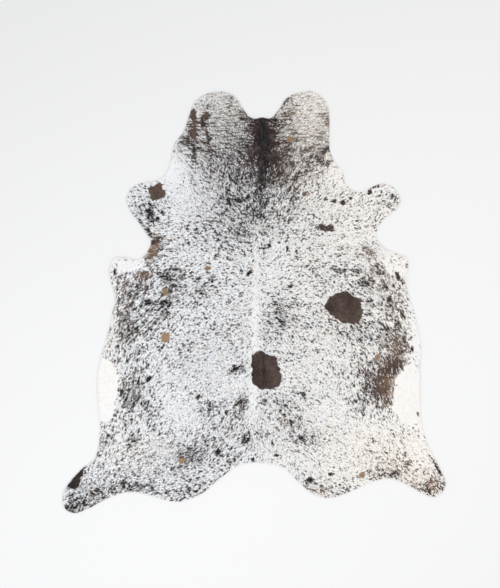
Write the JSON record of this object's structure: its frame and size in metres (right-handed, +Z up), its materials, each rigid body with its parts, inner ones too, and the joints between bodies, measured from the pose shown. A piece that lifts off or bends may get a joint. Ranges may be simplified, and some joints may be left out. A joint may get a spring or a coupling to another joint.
{
  "type": "cowhide rug",
  "caption": "Whole hair-on cowhide laid flat as a rug, with neck lobes, short leg ends and a notch at the tail; white coat flecked with near-black hair.",
  "frame": {"origin": "on the floor, under the middle of the hide's bounding box", "axes": "+Z up out of the hair side, +Y towards the neck, +X to the right as seen from above with the neck away from the viewer"},
  "size_m": [1.9126, 2.109, 0.0062],
  "materials": {
    "hair_on_hide": "matte short hair, white flecked with near-black, on tanned leather"
  },
  "bodies": {
    "root": {"cowhide": "hair_on_hide"}
  },
  "joints": []
}
